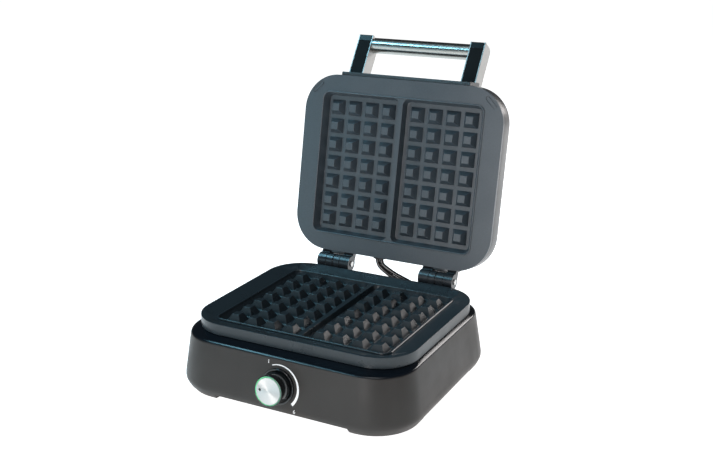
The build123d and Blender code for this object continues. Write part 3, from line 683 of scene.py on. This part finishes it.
# ------------------------------------------------------------------ dial
TILT = math.atan2(116.9 - 109.9, 62.2 - 14.3)
FACE_Y = B0 - (109.9 + (41.4 - 14.3) / (62.2 - 14.3) * (116.9 - 109.9))
NORMAL = Vector((0, -math.cos(TILT), math.sin(TILT)))
UPV = Vector((0, math.sin(TILT), math.cos(TILT)))


def dial(x, y, w):
    """Point on the front face: x right, y up, w out, in millimetres from the dial's centre."""
    return M(0, FACE_Y, -41.4) + (Vector((x, 0, 0)) + y * UPV + w * NORMAL) / 1000


centre = dial(0, 0, 18.7)
o = soften("knob_face", 0.25, 2)
give(o, spun_material(tuple(centre), tuple(NORMAL)))
o = soften("knob_light_ring", 0.2, 2)
give(o, light_ring_material(tuple(centre)))


def dial_hole_painted_shade():
    """Dark disc on the pointer dimple at the edge of the disc that shows where the dial points; its darkness is painted
    shade of the dimple's hollow.
    """
    mesh = bpy.data.meshes.new("knob_hole_painted_shade")
    bm = bmesh.new()
    n = 28
    levels = [(1.25, 0.03), (0.85, 0.06), (0.45, 0.05)]
    rings = [[bm.verts.new(dial(-9.0 + q * math.cos(2 * math.pi * k / n), q * math.sin(2 * math.pi * k / n), 18.9 + h)) for k in range(n)] for q, h in levels]
    for i in range(len(rings) - 1):
        for k in range(n):
            bm.faces.new((rings[i][k], rings[i][(k + 1) % n], rings[i + 1][(k + 1) % n], rings[i + 1][k]))
    bm.faces.new(rings[-1])
    bmesh.ops.recalc_face_normals(bm, faces=bm.faces)
    bm.to_mesh(mesh)
    bm.free()
    o = link("knob_hole_painted_shade", mesh)
    # dark glossy material as painted shade of the pointer hole
    give(o, KNOB)
    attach(o, "knob")


dial_hole_painted_shade()


def flat_print(name, outline_fn):
    mesh = bpy.data.meshes.new(name)
    bm = bmesh.new()
    outline_fn(bm)
    bmesh.ops.recalc_face_normals(bm, faces=bm.faces)
    bm.to_mesh(mesh)
    bm.free()
    o = link(name, mesh)
    give(o, PRINT)
    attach(o, "base")
    return o


def strip(bm, pts_in, pts_out, h=0.12, w0=0.02):
    """Thin raised strip between two point rows on the front face."""
    rows = []
    for w in (w0, w0 + h):
        rows.append(([bm.verts.new(dial(x, y, w)) for x, y in pts_in], [bm.verts.new(dial(x, y, w)) for x, y in pts_out]))
    (bi, bo), (ti, to) = rows
    n = len(pts_in)
    for i in range(n - 1):
        bm.faces.new((ti[i], ti[i + 1], to[i + 1], to[i]))
        bm.faces.new((bi[i], bo[i], bo[i + 1], bi[i + 1]))
        bm.faces.new((ti[i], bi[i], bi[i + 1], ti[i + 1]))
        bm.faces.new((to[i], to[i + 1], bo[i + 1], bo[i]))
    bm.faces.new((ti[0], to[0], bo[0], bi[0]))
    bm.faces.new((ti[-1], bi[-1], bo[-1], to[-1]))


def arc_scale(bm):
    n = 90
    a0, a1 = 112.0, -44.0
    ins, outs = [], []
    for i in range(n + 1):
        t = i / n
        a = math.radians(a0 + (a1 - a0) * t)
        wdt = 0.9 + 1.9 * t ** 1.3
        ins.append((20.5 * math.cos(a), 20.5 * math.sin(a)))
        outs.append(((20.5 + wdt) * math.cos(a), (20.5 + wdt) * math.sin(a)))
    strip(bm, ins, outs)


flat_print("dial_scale", arc_scale)


def numeral(name, text, x, y, size):
    cd = bpy.data.curves.new(name, "FONT")
    cd.body = text
    cd.size = size / 1000
    cd.extrude = 0.00005
    cd.align_x, cd.align_y = "CENTER", "CENTER"
    t = link(name + "_src", cd)
    bpy.context.view_layer.update()
    me = bpy.data.meshes.new_from_object(t)
    bpy.data.objects.remove(t)
    bpy.data.curves.remove(cd)
    m = Matrix((Vector((1, 0, 0)), UPV, NORMAL)).transposed().to_4x4()
    m = Matrix.Translation(dial(x, y, 0.1)) @ m
    me.transform(m)
    me.name = name
    o = link(name, me)
    give(o, PRINT)
    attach(o, "base")


numeral("dial_number_low", "1", -12.0, 22.2, 5.4)
numeral("dial_number_high", "6", 18.6, -21.6, 5.4)

# ------------------------------------------------------------------ remaining CAD pieces keep their shape
for node, mat in (("hinge_pin_left", STEEL), ("hinge_pin_right", STEEL), ("handle_tie_rod", STEEL), ("knob_shaft", STEEL),
                  ("lower_reflector", STEEL), ("upper_reflector", STEEL), ("thermostat_bracket", STEEL), ("thermal_fuse_clip", STEEL),
                  ("thermostat_screws", SCREW), ("lower_plate_screws", SCREW), ("upper_plate_screws", SCREW),
                  ("lower_heating_element", SHEATH), ("upper_heating_element", SHEATH),
                  ("thermostat", PHENOL), ("terminal_block", PHENOL), ("thermal_fuse", CERAMIC), ("lid_thermal_fuse", CERAMIC),
                  ("indicator_lamp", BOARD)):
    ob = NODES[node]
    if ob.material_slots:
        for s in ob.material_slots:
            s.material = mat
    else:
        ob.data.materials.append(mat)

# ------------------------------------------------------------------ stage and light
fm = bpy.data.materials.new("floor")
fm.use_nodes = True
fb = fm.node_tree.nodes["Principled BSDF"]
fb.inputs["Base Color"].default_value = (0.86, 0.86, 0.86, 1)
fb.inputs["Roughness"].default_value = 0.9
fb.inputs["Emission Color"].default_value = (1.0, 1.0, 1.0, 1)
fb.inputs["Emission Strength"].default_value = 0.97
me = bpy.data.meshes.new("floor")
me.from_pydata([(-60, -60, 0), (60, -60, 0), (60, 60, 0), (-60, 60, 0)], [], [(0, 1, 2, 3)])
floor = link("floor", me)
floor.data.materials.append(fm)

world = bpy.data.worlds.new("world")
bpy.context.scene.world = world
world.use_nodes = True
world.node_tree.nodes["Background"].inputs[0].default_value = (0.93, 0.97, 1.0, 1)
world.node_tree.nodes["Background"].inputs[1].default_value = 0.035


def area(name, loc, target, size, power, color=(1, 1, 1), size_y=None):
    ld = bpy.data.lights.new(name, "AREA")
    ld.energy = power
    ld.color = color
    ld.size = size
    if size_y:
        ld.shape = "RECTANGLE"
        ld.size_y = size_y
    lo = bpy.data.objects.new(name, ld)
    bpy.context.scene.collection.objects.link(lo)
    d = Vector(target) - Vector(loc)
    lo.location = loc
    lo.rotation_euler = d.to_track_quat("-Z", "Y").to_euler()
    return lo


area("overhead", (-0.1, -0.25, 2.3), (0, 0, 0.1), 0.9, 9, (1, 1, 1), 0.9)
area("cool_strip", (-0.62, -0.22, 1.15), (0, 0, 0.07), 1.1, 8.0, (0.34, 0.78, 1.0), 0.12)
area("front_left", (-1.15, -1.45, 0.42), (0, 0.1, 0.2), 0.6, 2.6, (0.50, 0.86, 1.0), 0.8)
area("front_mid", (-0.02, -1.30, 0.44), (0.10, 0.1, 0.2), 0.36, 9.5, (1.0, 0.97, 0.97), 0.8)
area("rim_right", (0.74, 1.26, 0.66), (0.03, 0, 0.08), 0.62, 15, (1.0, 0.955, 0.94), 0.62)
area("right_strip", (1.4, -0.72, 0.30), (0.1, -0.1, 0.05), 0.14, 2.0, (1, 1, 1), 0.9)

scene = bpy.context.scene
scene.view_settings.view_transform = "Standard"
scene.view_settings.look = "None"
